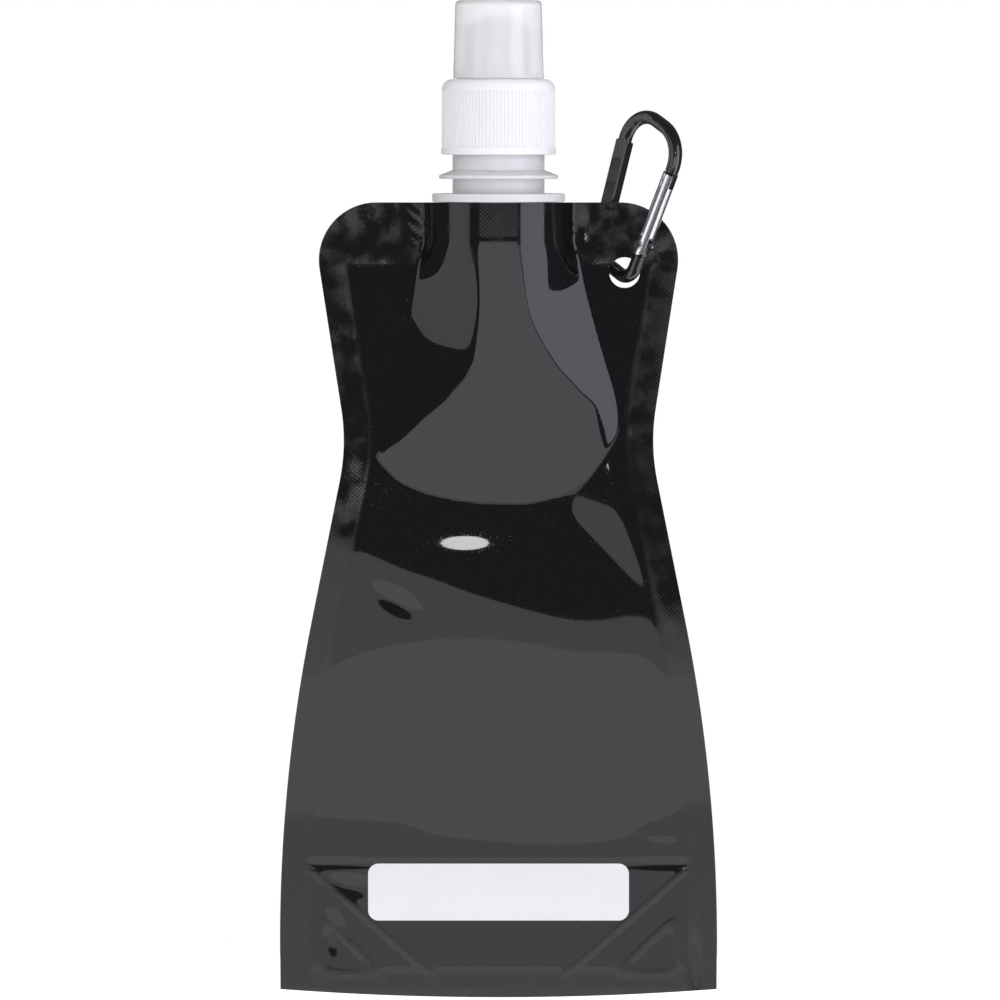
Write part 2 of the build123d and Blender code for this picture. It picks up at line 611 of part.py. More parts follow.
def carabiner_body():
    """Bent bar from the pivot's tang round the spine to the hooked nose."""
    route = rounded_route(
        [
            (GATE_LINE, SHOULDER_HEIGHT),
            (GATE_LINE, 0),
            (SPINE_FOOT, 0),
            (spine_x(TOP_LINE), TOP_LINE),
            (GATE_LINE, TOP_LINE),
            (GATE_LINE, NOSE_HEIGHT),
        ],
        [BEND_LOW_GATE, BEND_LOW_SPINE, BEND_TOP, BEND_TOP],
    )
    path = Plane.XZ * Wire(route)
    profile = Plane(origin=path @ 0, z_dir=path % 0) * Circle(BAR_RADIUS)
    bar = sweep(profile, path)
    around = 2 * BAR_RADIUS + 1
    keep = spine_bar(SPINE_FLAT_WIDTH, SPINE_FLAT_THICKNESS, SPINE_FLAT_EDGE)
    bar = bar - spine_bar(around, around, 0) + keep
    tang_length = PIVOT_HEIGHT - SHOULDER_HEIGHT + BAR_RADIUS / 2
    tang = Box(2 * TANG_RADIUS, TANG_THICKNESS, tang_length)
    tang = Pos(GATE_LINE, 0, PIVOT_HEIGHT - tang_length / 2) * tang
    tang_end = along_normal(TANG_RADIUS, TANG_THICKNESS, GATE_LINE, PIVOT_HEIGHT)
    nose_length = NOSE_HEIGHT - NOSE_TIP + BAR_RADIUS / 2
    nose = Box(2 * NOSE_HALF_WIDTH, TANG_THICKNESS, nose_length)
    nose = Pos(GATE_LINE, 0, NOSE_TIP + nose_length / 2) * nose
    notch_radius = LATCH_PIN_RADIUS + LATCH_ROOM
    notch = along_normal(notch_radius, BAR_RADIUS * 2, GATE_LINE, LATCH_HEIGHT)
    notch_run = Box(2 * GATE_RADIUS, BAR_RADIUS * 2, 2 * notch_radius)
    notch_run = Pos(GATE_LINE - GATE_RADIUS, 0, LATCH_HEIGHT) * notch_run
    pin_hole = along_normal(PIVOT_PIN_RADIUS, 2 * GATE_RADIUS, GATE_LINE, PIVOT_HEIGHT)
    return bar + tang + tang_end + nose - notch - notch_run - pin_hole


def carabiner_gate():
    """Round gate, slotted at both ends, drilled for its spring and grooved along its face."""
    length = GATE_TOP - PIVOT_HEIGHT
    bar = Pos(GATE_LINE, 0, PIVOT_HEIGHT + length / 2) * Cylinder(GATE_RADIUS, length)
    foot = Pos(GATE_LINE, 0, PIVOT_HEIGHT) * Cylinder(GATE_RADIUS, 2 * GATE_FOOT_RADIUS)
    foot = foot & along_normal(GATE_FOOT_RADIUS, 2 * GATE_RADIUS, GATE_LINE, PIVOT_HEIGHT)
    low_slot_length = SLOT_LOW_END - PIVOT_HEIGHT + GATE_FOOT_RADIUS + 1
    low_slot = Box(3 * GATE_RADIUS, SLOT_WIDTH, low_slot_length)
    low_slot = Pos(GATE_LINE, 0, SLOT_LOW_END - low_slot_length / 2) * low_slot
    top_slot_length = GATE_TOP - SLOT_TOP_END + 1
    top_slot = Box(3 * GATE_RADIUS, SLOT_WIDTH, top_slot_length)
    top_slot = Pos(GATE_LINE, 0, SLOT_TOP_END + top_slot_length / 2) * top_slot
    pivot = along_normal(PIVOT_PIN_RADIUS + PIVOT_PIN_CLEARANCE, 3 * GATE_RADIUS, GATE_LINE, PIVOT_HEIGHT)
    latch = along_normal(LATCH_PIN_RADIUS, 3 * GATE_RADIUS, GATE_LINE, LATCH_HEIGHT)
    bore_length = SPRING_BORE_END - SLOT_LOW_END + 1
    bore = Pos(GATE_LINE, 0, SPRING_BORE_END - bore_length / 2) * Cylinder(SPRING_BORE_RADIUS, bore_length)
    groove_length = SLOT_TOP_END - SLOT_LOW_END
    groove = Pos(GATE_LINE, -GATE_RADIUS, SLOT_LOW_END + groove_length / 2) * Box(
        GROOVE_WIDTH, 2 * GROOVE_DEPTH, groove_length
    )
    return bar + foot - low_slot - top_slot - pivot - latch - bore - groove


def gate_pivot_pin():
    """Rivet with a low head on each side of the gate."""
    reach = GATE_RADIUS + PIVOT_HEAD_GAP
    pin = along_normal(PIVOT_PIN_RADIUS, 2 * reach, GATE_LINE, PIVOT_HEIGHT)
    heads = [
        Pos(0, side * (reach + PIVOT_HEAD_HEIGHT / 2), 0)
        * along_normal(PIVOT_HEAD_RADIUS, PIVOT_HEAD_HEIGHT, GATE_LINE, PIVOT_HEIGHT)
        for side in (-1, 1)
    ]
    return pin + heads[0] + heads[1]


def gate_latch_pin():
    """Cross pin that drops into the nose's notch."""
    return along_normal(LATCH_PIN_RADIUS, 2 * GATE_RADIUS - 2 * GROOVE_DEPTH, GATE_LINE, LATCH_HEIGHT)


def spring_plunger():
    """Short rod that the spring presses on the tang."""
    tip = PIVOT_HEIGHT + TANG_RADIUS + PLUNGER_TIP_GAP
    end = SPRING_BORE_END - 2 * SPRING_WIRE - SPRING_TURNS * SPRING_PITCH - 2 * SPRING_WIRE
    return Pos(GATE_LINE, 0, (tip + end) / 2) * Cylinder(PLUNGER_RADIUS, end - tip)


def gate_spring():
    """Fine coil spring in the gate's bore."""
    path = Helix(SPRING_PITCH, SPRING_TURNS * SPRING_PITCH, SPRING_RADIUS)
    coil = sweep(Plane(origin=path @ 0, z_dir=path % 0) * Circle(SPRING_WIRE), path, is_frenet=True)
    bottom = SPRING_BORE_END - 2 * SPRING_WIRE - SPRING_TURNS * SPRING_PITCH
    return Pos(GATE_LINE, 0, bottom) * coil


def build_parts():
    """Every piece of the bottle by its node's name."""
    front = bands(front_film())
    names = ("base", "middle", "top")
    parts = {f"front_film_{name}": band for name, band in zip(names, front)}
    parts.update({f"back_film_{name}": mirror(band, Plane.XZ) for name, band in zip(names, front)})
    parts["bottom_gusset"] = bottom_gusset()
    parts["name_label"] = name_label()
    parts["spout"] = spout()
    parts["screw_cap"] = screw_cap()
    parts["cap_liner"] = cap_liner()
    parts["nozzle"] = nozzle()
    parts["dust_cover"] = dust_cover()
    place = carabiner_place()
    parts["carabiner_body"] = place * carabiner_body()
    parts["carabiner_gate"] = place * carabiner_gate()
    parts["gate_pivot_pin"] = place * gate_pivot_pin()
    parts["gate_latch_pin"] = place * gate_latch_pin()
    parts["spring_plunger"] = place * spring_plunger()
    parts["gate_spring"] = place * gate_spring()
    return parts


def main():
    os.makedirs("parts", exist_ok=True)
    for name, shape in build_parts().items():
        export_step(shape, f"parts/{name}.step")
        print(name, round(shape.volume, 2))


if __name__ == "__main__":
    main()
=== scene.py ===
# %% [markdown]
# # A folding water bottle
#
# The bottle is a flat pouch of glossy black film with a white spout welded into its top, a ribbed screw
# cap, a pull-up nozzle under a clear cover, and a small black carabiner through a corner of the pouch.
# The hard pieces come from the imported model, which is loaded first as a fixed frame. The film, which is
# soft, is made here. Every length in a formula is in millimetres, and a mesh is in metres, so one factor
# turns the first into the second.

import math

import bpy
import numpy as np
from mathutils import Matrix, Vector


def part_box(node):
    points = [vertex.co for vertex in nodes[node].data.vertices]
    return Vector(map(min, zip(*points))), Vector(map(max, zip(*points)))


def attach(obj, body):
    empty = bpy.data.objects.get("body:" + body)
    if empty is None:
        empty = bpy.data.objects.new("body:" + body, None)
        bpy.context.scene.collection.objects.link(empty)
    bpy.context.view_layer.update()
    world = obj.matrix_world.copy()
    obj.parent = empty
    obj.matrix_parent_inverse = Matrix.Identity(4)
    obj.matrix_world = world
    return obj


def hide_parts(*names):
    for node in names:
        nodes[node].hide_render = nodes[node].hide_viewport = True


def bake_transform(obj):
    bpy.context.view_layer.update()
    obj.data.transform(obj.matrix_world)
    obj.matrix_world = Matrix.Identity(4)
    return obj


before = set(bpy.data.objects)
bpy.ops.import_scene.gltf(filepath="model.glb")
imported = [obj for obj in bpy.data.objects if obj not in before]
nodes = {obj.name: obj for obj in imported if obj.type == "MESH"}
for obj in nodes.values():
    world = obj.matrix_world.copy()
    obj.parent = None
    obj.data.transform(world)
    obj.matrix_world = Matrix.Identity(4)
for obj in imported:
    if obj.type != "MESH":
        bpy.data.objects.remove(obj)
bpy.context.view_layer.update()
MM = 0.001
print("hard and soft pieces in the frame:", len(nodes))

# %% [markdown]
# ## Helpers for pieces
#
# An operator acts on whatever is selected, and the frame leaves its pieces selected, so each step first
# deselects everything and then picks the one piece that it works on.

# %% Picking a piece and adding a modifier
def pick(piece):
    bpy.ops.object.select_all(action="DESELECT")
    piece.select_set(True)
    bpy.context.view_layer.objects.active = piece


def add_modifier(piece, kind, **settings):
    """Adds one modifier with its settings and applies it."""
    pick(piece)
    modifier = piece.modifiers.new(kind.title(), kind)
    for name, value in settings.items():
        setattr(modifier, name, value)
    bpy.ops.object.modifier_apply(modifier=modifier.name)


# %% [markdown]
# ## The outline of the pouch
#
# The pouch is widest at the hip, narrow at the waist and a little wider again at the shoulders, with large
# round corners at the top. Straight runs joined by arcs say that in a few numbers. The function gives half
# of the width at a height.

# %% Half the width of the pouch
POUCH_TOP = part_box("front_film_top")[1].z / MM
BASE = (59.0, 2.2)                      # half width and height of a bottom corner
HIP, HIP_ARC = (59.4, 57.0), 440.0
WAIST, WAIST_ARC = (40.9, POUCH_TOP - 65.4), 55.0
FLARE = 0.155                           # how fast the pouch widens above the waist
SHOULDER_ARC = 15.5
SIDE_SEAL, TOP_SEAL, BOTTOM_SEAL = 7.2, POUCH_TOP - 16.8, 7.3    # width, lower edge and upper edge


def eased(a, b, v):
    """From 0 at a to 1 at b, with no corner at either end."""
    t = np.clip((v - a) / (b - a), 0, 1)
    return t * t * (3 - 2 * t)


def arc_between(width, z, corner, slope_below, slope_above, radius):
    """Rounds the corner between two straight runs of the outline."""
    below, above = math.atan(slope_below), math.atan(slope_above)
    run = radius * abs(math.tan((above - below) / 2))
    first, last = corner[1] - run * math.cos(below), corner[1] + run * math.cos(above)
    side = 1 if slope_above > slope_below else -1
    centre = corner[0] - run * math.sin(below) + side * radius * math.cos(below)
    middle = first - side * radius * math.sin(below)
    curve = centre - side * np.sqrt(np.maximum(radius**2 - (z - middle) ** 2, 0))
    return np.where((z > first) & (z < last), curve, width)


def half_width(z):
    up_to_hip = (HIP[0] - BASE[0]) / (HIP[1] - BASE[1])
    up_to_waist = (WAIST[0] - HIP[0]) / (WAIST[1] - HIP[1])
    corner = (WAIST[0] + FLARE * (POUCH_TOP - WAIST[1]), POUCH_TOP)
    width = np.interp(z, [BASE[1], HIP[1], WAIST[1], POUCH_TOP], [BASE[0], HIP[0], WAIST[0], corner[0]])
    width = arc_between(width, z, HIP, up_to_hip, up_to_waist, HIP_ARC)
    width = arc_between(width, z, WAIST, up_to_waist, FLARE, WAIST_ARC)
    tangent = SHOULDER_ARC * math.tan((math.pi / 2 + math.atan(FLARE)) / 2)
    centre = (corner[0] - tangent, POUCH_TOP - SHOULDER_ARC)
    start = POUCH_TOP - tangent * math.cos(math.atan(FLARE))
    shoulder = centre[0] + np.sqrt(np.maximum(SHOULDER_ARC**2 - (z - centre[1]) ** 2, 0))
    return np.where(z > start, shoulder, width)


for place, z in (("hip", HIP[1]), ("waist", WAIST[1]), ("shoulder", POUCH_TOP - SHOULDER_ARC)):
    print("half width at the", place, round(float(half_width(np.array(z))), 2))

# %% [markdown]
# ## How the film lies
#
# Film is thin and can't stretch, so an empty pouch shows nearly flat faces with soft bends and a few sharp
# creases between them. On a black mirror-like film those bends are all that the eye sees: a tilt of two
# degrees moves a reflection from a lit wall to a dark room. So the shape is written as slopes: an upright
# foot, a long rise from the base, a flatter belly that ends in a bend down to the right, a drop behind the
# bend, and a crease under the cone. `through` draws a curve without overshoot through a few points.

# %% Curves across the pouch
CREASE = [(-40, 153), (-34.3, 147.5), (-26, 139.6), (-16.3, 136), (-5, 134.4), (5.5, 134),
          (15.4, 135.8), (22.4, 139.6), (27.7, 145), (31.5, 151), (35, 159)]
BEND = [(-45, 123), (-38, 120), (-21.5, 112), (4.5, 102.6), (21.7, 97.5), (38, 95.5), (48, 92)]
SHELF = [(-50, 86), (-44, 88), (-30, 92), (-10.7, 93.8), (4.5, 93), (21.7, 90.3), (36, 90.3), (46.6, 84)]
FOOT = [(-50, 51), (-28, 50.5), (-15, 46.5), (0, 44.8), (15, 43.8), (30, 45), (41, 49), (52, 54)]


def through(points, v):
    """A smooth curve through points, which never swings past them."""
    xs, ys = np.array(points, float).T
    step = np.diff(xs)
    rise = np.diff(ys) / step
    slope = np.zeros(len(xs))
    slope[0], slope[-1] = rise[0], rise[-1]
    for i in range(1, len(xs) - 1):
        if rise[i - 1] * rise[i] > 0:
            a, b = 2 * step[i] + step[i - 1], step[i] + 2 * step[i - 1]
            slope[i] = (a + b) / (a / rise[i - 1] + b / rise[i])
    v = np.clip(v, xs[0], xs[-1])
    k = np.clip(np.searchsorted(xs, v, side="right") - 1, 0, len(step) - 1)
    t, h = (v - xs[k]) / step[k], step[k]
    return ((2 * t**3 - 3 * t**2 + 1) * ys[k] + (t**3 - 2 * t**2 + t) * h * slope[k]
            + (3 * t**2 - 2 * t**3) * ys[k + 1] + (t**3 - t**2) * h * slope[k + 1])


# %% The bend that both films share
GUSSET = 36.0                               # height of the gusset's fold
LEVEL = POUCH_TOP - 18                      # from here up the pouch's corners lean back
CORNER_LEAN = 0.036
FOOT_LEAN = 1.9                             # how far the bottom edge stands to the front
FOOT_SLOPE, BODY_SLOPE, BELLY_SLOPE = -0.018, 0.046, 0.004
DROP = [(-45, 0.046), (0, 0.046), (20, 0.044), (42, 0.034)]     # slope behind the bend, at x
share = np.linspace(0, 1, 201)


def profile(slopes):
    """A curve from 0 to 1 that has these slopes, up to their scale."""
    heights = np.cumsum(slopes)
    return (heights - heights[0]) / (heights[-1] - heights[0])


fall_profile = profile((0.25 + 0.75 * eased(0, 0.3, share)) * (1 - 0.6 * eased(0.95, 1, share)))


def past(edge, v, softness=1.6):
    """How far v is past an edge, with a soft start."""
    return softness * np.logaddexp(0, (v - edge) / softness)


def leaning(x, z):
    """The rise from the base to the belly, as three slopes."""
    body, belly = past(through(FOOT, x), z), past(through(SHELF, x), z)
    return FOOT_LEAN + FOOT_SLOPE * z + (BODY_SLOPE - FOOT_SLOPE) * body - (BODY_SLOPE - BELLY_SLOPE) * belly


def sway(x, z):
    """How far the middle of the pouch leans to the front."""
    bend, crease = through(BEND, x), through(CREASE, x)
    fall = np.clip((z - bend) / (crease - bend), 0, 1)
    peak = leaning(x, bend)
    end = peak - through(DROP, x) * (crease - bend)
    lean = np.where(z > bend, peak + (end - peak) * np.interp(fall, share, fall_profile), leaning(x, z))
    above = end * (1 - (z - crease) / (LEVEL - crease))
    shoulder = eased(21, 27, np.abs(x))
    above = np.where(z > LEVEL, shoulder * CORNER_LEAN * (LEVEL - z), above)
    return np.where(z > crease, above, lean)


# %% [markdown]
# ## The cone under the spout
#
# The spout's foot is boat-shaped, 26 mm deep and welded between the films, while the pouch below it is
# flat. The film between the two is a cone: a middle face like a fan, which ends at the curved crease,
# and on each side of it a ridge and a steep face. The ridges don't run alike on the left and right,
# because film never folds twice in the same way.

# %% Height of the cone
CONE_TOP, CONE_HALF = 204.0, 33.5
BOAT_HALF, BOAT_DEPTH = 20.0, 12.7
BOAT_ARC = (BOAT_HALF**2 + BOAT_DEPTH**2) / (2 * BOAT_DEPTH)
RIDGE_RIGHT = [(0, 0.30), (0.26, 0.36), (0.48, 0.58), (0.63, 0.76), (0.80, 0.90), (1, 0.93)]
RIDGE_LEFT = [(0, 0.28), (0.30, 0.22), (0.446, 0.23), (0.58, 0.42), (0.71, 0.66), (0.85, 0.84),
              (0.97, 0.95), (1, 0.96)]
RIDGE_ROUND, CONE_CURVE = 0.035, 1.1


def cone(x, z):
    """Height of the cone. Its sides lean, so how far across a place is comes from a few rounds."""
    across = x / 27
    for _ in range(14):
        foot = through(CREASE, CONE_HALF * np.clip(across, -1.2, 1.1))
        down = np.clip((CONE_TOP - z) / (CONE_TOP - foot), 0, 1)
        across = x / (BOAT_HALF + (CONE_HALF - BOAT_HALF) * down)
    side = np.abs(across)
    boat = np.sqrt(np.maximum(BOAT_ARC**2 - (np.minimum(side, 1) * BOAT_HALF) ** 2, 0))
    boat = (boat - BOAT_ARC + BOAT_DEPTH) / BOAT_DEPTH
    ridge = np.where(across > 0, through(RIDGE_RIGHT, down), through(RIDGE_LEFT, down))
    off_ridge = past(0, (side - ridge) / (1 - ridge), RIDGE_ROUND)
    facets = np.clip(1 - off_ridge, 0, 1) * (1 - 0.05 * side**2)
    mix = eased(0, 0.25, down)
    shape = np.where(side < 1, boat * (1 - mix) + facets * mix, 0)
    return BOAT_DEPTH * (1 - down) ** CONE_CURVE * shape


# %% [markdown]
# ## The two faces of the pouch
#
# Inside the seals the films part by under a millimetre, because the pouch is empty. The front also has
# the marks of use: a soft fold at the right of the belly, small dents, and at the bottom the lines where
# the gusset is folded up between the films. Beside the spout the hot jaws leave marks of their own.

# %% Front and back surfaces
SEAL_FACE, SEAM_STEP = 0.3, 0.02
FRONT_ROOM, BACK_ROOM = 0.6, 0.9            # how far each film stands off in the middle
SLANT_FOOT, SLANT_TOP = (18.8, 7.0), (50.6, 34.6)
WEDGE_AT, WEDGE_WAY, WEDGE_REACH, WEDGE_SLOPE = (19.8, 129.3), (0.703, 0.71), 14, 0.068
GLINT_AT, GLINT_SIZE, GLINT_SLOPE = (-9, 123), (10, 5.2), 0.043
DENTS = [                                   # depth, centre, size and turn
    (0.22, (-27.8, 107), (5.5, 2.2), -0.55),
    (0.30, (53.2, 8.5), (1.3, 7), 0.05),
    (0.22, (-44.8, 16), (2.6, 5), 0.1),
    (0.13, (-40, 30), (6, 2.6), -0.25),
    (-0.05, (44.8, 44.4), (6, 2.2), 0),
]


def dent(x, z, centre, size, turn):
    dx, dz = x - centre[0], z - centre[1]
    along, over = dx * math.cos(turn) + dz * math.sin(turn), dz * math.cos(turn) - dx * math.sin(turn)
    return np.exp(-((along / size[0]) ** 2) - (over / size[1]) ** 2)


def puffed(x, z, most):
    """How far one film stands off the seals' plane."""
    inner = half_width(z) - SIDE_SEAL
    open_part = eased(GUSSET + 4, 92, z) * (1 - eased(TOP_SEAL - 40, TOP_SEAL, z))
    edge = inner - np.abs(x)
    within = eased(BOTTOM_SEAL - 1, BOTTOM_SEAL + 1, z) * (1 - eased(TOP_SEAL - 1, TOP_SEAL + 1, z))
    seam = SEAM_STEP * (eased(0, 1.5, edge) - np.exp(-((edge / 0.7) ** 2)))
    return SEAL_FACE + seam * within + most * np.clip(1 - (x / inner) ** 2, 0, 1) ** 0.8 * open_part


WINDOW = ((-48.4, 6.6), (-48.4, 22.6), (-31.4, 6.6))     # corners of the welded window at the left


def off_window(x, z):
    """Distance outside the rounded triangle where the two films are welded through the gusset."""
    (left, bottom), (_, top), (right, _) = WINDOW
    width, height = right - left, top - bottom
    over, up = left + np.abs(x), z - bottom
    beyond = (-over * height + up * width - width * height) / math.hypot(width, height)
    sides = np.stack([over, -up, beyond]) / 1.6
    return 1.6 * np.log(np.exp(np.clip(sides, -40, 40)).sum(0))


def off_slant(x, z):
    """Distance from the slanting edge where the gusset's corner is folded in."""
    run, rise = SLANT_TOP[0] - SLANT_FOOT[0], SLANT_TOP[1] - SLANT_FOOT[1]
    return ((np.abs(x) - SLANT_FOOT[0]) * rise - (z - SLANT_FOOT[1]) * run) / math.hypot(run, rise)


def gusset_lines(x, z):
    """The folded gusset pressed through the film: two slanting lines, the fold and two welded windows."""
    inside = eased(5, 8, z) * (1 - eased(34, 36, z))
    ends = 0.5 + 0.5 * eased(34, 46, np.abs(x))
    fold = 0.10 * ends * np.exp(-(((z - GUSSET) / 1.1) ** 2)) * (1 - eased(50, 52, np.abs(x)))
    slanting = 0.05 * np.exp(-((off_slant(x, z) / 0.7) ** 2)) * inside
    weld = 0.06 * np.exp(-((off_window(x, z) / 0.7) ** 2))
    return slanting - fold + weld


def weld_marks(x, z):
    """What the hot jaws leave round the spout: a pressed band, a dimple and puckers beside its ends."""
    band = 0.12 * eased(203.2, 204.8, z) * (1 - eased(19, 21, np.abs(x)))
    dimple = 0.3 * dent(x, z, (22.9, 208), (1.5, 4), 0)
    pucker = 0.10 * np.sin((x + z) * 1.9) * dent(x, z, (-22.6, 209), (1.9, 5), 0.2)
    return pucker - dimple - band


def front_face(x, z):
    wedge = (x - WEDGE_AT[0]) * WEDGE_WAY[0] + (z - WEDGE_AT[1]) * WEDGE_WAY[1]
    fold = WEDGE_SLOPE * (past(0, wedge, 0.8) - past(WEDGE_REACH, wedge, 2))
    fold = fold * (1 - eased(128, 170, z)) * eased(14, 22, x)
    fold = fold * (1 - eased(-6, 4, np.abs(x) - half_width(z) + SIDE_SEAL))
    glint = GLINT_SLOPE * (z - GLINT_AT[1]) * dent(x, z, GLINT_AT, GLINT_SIZE, 0)
    dents = sum(depth * dent(x, z, centre, size, turn) for depth, centre, size, turn in DENTS)
    shape = sway(x, z) + puffed(x, z, FRONT_ROOM) + cone(x, z) + fold - glint - dents
    return shape + gusset_lines(x, z) + weld_marks(x, z)


def back_face(x, z):
    shape = puffed(x, z, BACK_ROOM) + cone(-x, z) - sway(x, z)
    return shape + gusset_lines(x, z) + weld_marks(-x, z)


# %% [markdown]
# ## Laying a sheet
#
# A sheet starts as a grid from Blender, and each of its vertices is then moved to its place, the way a
# sculptor pushes a surface. Its rows follow the outline, and are closer together in the round corners.
# Solidify gives the film its thickness, inwards, so that the outer face stays where it was put.

# %% A sheet of film from a grid
STEP = 0.85
FILM = 0.12                               # thickness of the laminate
HOLE = (34.0, POUCH_TOP - 18.9, 4.13)     # the hole for the carabiner


def rows_between(bottom, top, corner=0.0, step=STEP):
    """Heights of the rows, closer together in a round corner at the top."""
    straight = top - corner
    rows = np.linspace(bottom, straight, max(2, round((straight - bottom) / step) + 1))
    if corner:
        turn = np.linspace(0, np.pi / 2, 26)[1:]
        rows = np.append(rows, straight + corner * np.sin(turn))
    return rows


def bow(x_share, z):
    """The bottom edge is bowed: its corners are higher than its middle."""
    return BASE[1] * x_share**2 * np.clip(1 - z / 25, 0, 1)


def vertices(piece):
    """The places of a piece's vertices, one row each."""
    co = np.zeros(len(piece.data.vertices) * 3, np.float32)
    piece.data.vertices.foreach_get("co", co)
    return co.reshape(-1, 3)


def grid(name, columns, rows):
    """A flat grid: the piece, how far across each vertex is, from -1 to 1, and its row's value."""
    bpy.ops.object.select_all(action="DESELECT")
    bpy.ops.mesh.primitive_grid_add(x_subdivisions=columns, y_subdivisions=len(rows) - 1, size=2)
    piece = bpy.context.object
    piece.name = piece.data.name = name
    across, up = vertices(piece)[:, :2].astype(float).T
    return piece, across, rows[np.round((up + 1) / 2 * (len(rows) - 1)).astype(int)]


def lay(piece, x, y, z, outside):
    """Moves every vertex to its place, and notes which way the outer face looks."""
    piece.data.vertices.foreach_set("co", (np.stack([x, y, z], 1) * MM).astype(np.float32).ravel())
    piece.data.update()
    piece.data["outside"] = outside


def film_sheet(name, rows, face, towards, columns=120, width=half_width, lift=bow):
    sheet, across, z = grid(name, columns, rows)
    x = across * width(z)
    z = z + lift(across, z)
    lay(sheet, x, towards * face(x, z), z, towards)
    return sheet


def punch(sheet):
    """Opens the round hole: the faces in it go, and the edge that is left is drawn to the circle."""
    pick(sheet)
    bpy.ops.object.mode_set(mode="EDIT")
    bpy.ops.mesh.select_mode(type="FACE")
    bpy.ops.mesh.select_all(action="DESELECT")
    bpy.ops.object.mode_set(mode="OBJECT")
    away = {v.index: math.hypot(v.co.x / MM - HOLE[0], v.co.z / MM - HOLE[1]) for v in sheet.data.vertices}
    for face in sheet.data.polygons:
        face.select = sum(away[v] for v in face.vertices) / 4 < HOLE[2]
    bpy.ops.object.mode_set(mode="EDIT")
    bpy.ops.mesh.delete(type="FACE")
    bpy.ops.mesh.select_mode(type="VERT")
    bpy.ops.mesh.select_all(action="DESELECT")
    bpy.ops.mesh.select_non_manifold()
    bpy.ops.object.mode_set(mode="OBJECT")
    for v in sheet.data.vertices:
        dx, dz = v.co.x / MM - HOLE[0], v.co.z / MM - HOLE[1]
        reach = math.hypot(dx, dz)
        if v.select and reach < HOLE[2] * 1.6:
            v.co.x, v.co.z = (HOLE[0] + dx / reach * HOLE[2]) * MM, (HOLE[1] + dz / reach * HOLE[2]) * MM


def thicken(sheet, thickness=FILM):
    """Gives the sheet its thickness on the inner side."""
    if (sheet.data.polygons[0].normal.y > 0) != (sheet.data["outside"] > 0):
        pick(sheet)
        bpy.ops.object.mode_set(mode="EDIT")
        bpy.ops.mesh.select_all(action="SELECT")
        bpy.ops.mesh.flip_normals()
        bpy.ops.object.mode_set(mode="OBJECT")
    add_modifier(sheet, "SOLIDIFY", thickness=thickness * MM, offset=-1)
    pick(sheet)
    bpy.ops.object.shade_smooth_by_angle(angle=math.radians(40))
    print(sheet.name, "has", len(sheet.data.polygons), "faces")


# %% [markdown]
# ## The films
#
# The pouch rolls up at two folds. The front and back are each made in an upper and a lower sheet that meet
# at a join between the folds; the sheets themselves are not folded.

# %% Front and back films
JOIN = 78.0
sheets = {}
for side, face, towards in (("front", front_face, -1), ("back", back_face, 1)):
    upper = film_sheet(f"{side}_film_upper", rows_between(JOIN, POUCH_TOP, SHOULDER_ARC), face, towards)
    punch(upper)
    lower = film_sheet(f"{side}_film_lower", rows_between(0, JOIN, step=0.65), face, towards, columns=180)
    for sheet in (upper, lower):
        thicken(sheet)
        sheets[sheet.name] = sheet

# %% [markdown]
# ## The gusset
#
# The bottom is one more sheet, folded up between the films, so that the pouch can stand when it is full.
# Empty, its two leaves lie against each other, and only their lower edges show. It is one grid whose rows
# run up the front leaf, over the fold and down the back leaf.

# %% The folded gusset sheet
LEAF_FACE = 0.16
leaf = np.linspace(0.25, GUSSET - 0.9, 26)
over_fold = np.append(-leaf[::-1], np.append(np.linspace(-0.2, 0.2, 5), leaf))
gusset, across, run = grid("gusset_sheet", 70, over_fold)
turn = np.clip(run / 0.25, -1, 1) * np.pi / 2
z = GUSSET - 0.4 - np.maximum(np.abs(run) - 0.25, 0) + LEAF_FACE * (np.cos(turn) - 1)
x = across * (half_width(z) - 0.5)
z = z + bow(across, z)
lay(gusset, x, LEAF_FACE * np.sin(turn) - sway(x, z), z, -1)
thicken(gusset)

# %% [markdown]
# ## The name label
#
# A white sticker with round corners lies on the front just over the fold of the gusset. It is left blank.
# It follows the film, so it uses the front's own surface, 0.14 mm further out, and bridges the groove that
# the gusset's fold leaves in the film.

# %% The label
label_low, label_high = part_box("name_label")
LABEL_HALF, LABEL_CORNER, LABEL_OUT = label_high.x / MM, 2.8, 0.14
label_bottom, label_top = label_low.z / MM, label_high.z / MM


def label_width(z):
    into = np.maximum(label_bottom + LABEL_CORNER - z, z - label_top + LABEL_CORNER)
    into = np.clip(into, 0, LABEL_CORNER)
    return LABEL_HALF - LABEL_CORNER + np.sqrt(LABEL_CORNER**2 - into**2)


def label_face(x, z):
    return front_face(x, z) + LABEL_OUT + 0.09 * np.exp(-(((z - GUSSET) / 1.4) ** 2))


half_rows = rows_between((label_bottom + label_top) / 2, label_top, LABEL_CORNER, step=1.0)
label_rows = np.append((label_bottom + label_top) - half_rows[::-1], half_rows[1:])
label = film_sheet("white_label", label_rows, label_face, -1, columns=70, width=label_width,
                   lift=lambda across, z: 0)
thicken(label, 0.1)

# %% [markdown]
# ## Riding on the model
#
# Each sheet replaces the plain solid that stood for it. The films stay in the model's frame, and the gusset
# and label move with the pouch's base body.

# %% Films in the frame, gusset and label on the base's body
for side in ("front", "back"):
    upper, lower = sheets[f"{side}_film_upper"], sheets[f"{side}_film_lower"]
    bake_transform(upper)
    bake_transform(lower)
    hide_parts(f"{side}_film_top", f"{side}_film_middle")
    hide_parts(f"{side}_film_base")
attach(gusset, "pouch_base")
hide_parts("bottom_gusset")
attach(label, "pouch_base")
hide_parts("name_label")

# %% [markdown]
# ## Shader maths as expressions
#
# `Wire` wraps an output of a node. Adding or multiplying wires adds the Math nodes for it, so a pattern
# reads like a formula. `Finish.node` adds any other node: its settings first, then its sockets.

